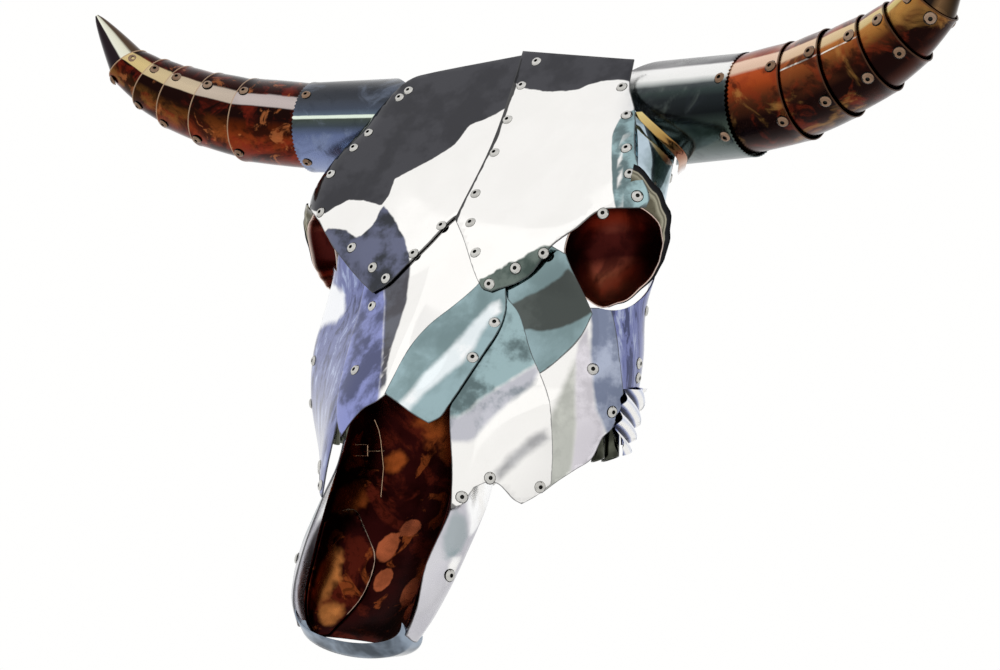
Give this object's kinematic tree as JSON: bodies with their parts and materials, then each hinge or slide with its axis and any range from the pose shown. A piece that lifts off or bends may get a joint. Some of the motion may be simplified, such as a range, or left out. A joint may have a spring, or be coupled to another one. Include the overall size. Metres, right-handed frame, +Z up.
{
  "type": "steer skull wall sculpture",
  "caption": "Steer skull for a wall, bent and riveted from mirror-bright, heat-blued steel and flame-coloured copper sheet, with banded horns, open eye sockets and nose.",
  "frame": {"origin": "centre of the wall hanger's rear face, the face that lies on the wall", "axes": "+X to the viewer's right, +Y back into the wall, +Z up"},
  "size_m": [0.8466, 0.3146, 0.5335],
  "materials": {
    "mirror_steel": "mirror-polished sheet steel, bare",
    "blued_steel": "polished sheet steel, heat-blued, clouded",
    "teal_steel": "polished sheet steel with a blue-green heat tint",
    "flamed_copper": "polished copper sheet, flame-coloured red to orange",
    "dark_copper": "polished copper sheet, dark red to brown",
    "gilded_copper": "polished copper sheet, gold to pink",
    "dark_steel": "dark polished sheet steel",
    "black_steel": "blackened sheet steel, satin"
  },
  "bodies": {
    "root": {"back_plate": "black_steel", "cheek_plate_left": "blued_steel", "cheek_plate_right": "mirror_steel", "crown_plate": "mirror_steel", "forehead_plate_left": "mirror_steel", "forehead_plate_right": "mirror_steel", "horn_band_1_left": "flamed_copper", "horn_band_1_right": "flamed_copper", "horn_band_2_left": "flamed_copper", "horn_band_2_right": "flamed_copper", "horn_band_3_left": "flamed_copper", "horn_band_3_right": "flamed_copper", "horn_band_4_left": "flamed_copper", "horn_band_4_right": "flamed_copper", "horn_band_5_left": "flamed_copper", "horn_band_5_right": "flamed_copper", "horn_collar_left": "blued_steel", "horn_collar_right": "blued_steel", "horn_tip_left": "gilded_copper", "horn_tip_right": "gilded_copper", "jaw_plate_left": "blued_steel", "jaw_plate_right": "blued_steel", "lacrimal_plate_right": "teal_steel", "maxilla_plate_right": "mirror_steel", "molar_pleats_left": "mirror_steel", "molar_pleats_right": "mirror_steel", "molar_tube_front_left": "dark_steel", "molar_tube_front_right": "dark_steel", "molar_tube_rear_left": "dark_steel", "molar_tube_rear_right": "dark_steel", "muzzle_lip": "blued_steel", "muzzle_plate_left": "mirror_steel", "muzzle_plate_right": "mirror_steel", "nasal_plate_left": "mirror_steel", "nasal_plate_right": "teal_steel", "nose_lining_lower": "flamed_copper", "nose_lining_upper": "dark_copper", "socket_cup_left": "dark_copper", "socket_cup_right": "dark_copper", "socket_flange_left": "dark_steel", "socket_flange_right": "dark_steel", "temple_plate_left": "teal_steel", "temple_plate_right": "teal_steel", "temple_strip_left": "gilded_copper", "temple_strip_right": "gilded_copper", "wall_hanger": "black_steel"}
  },
  "joints": []
}
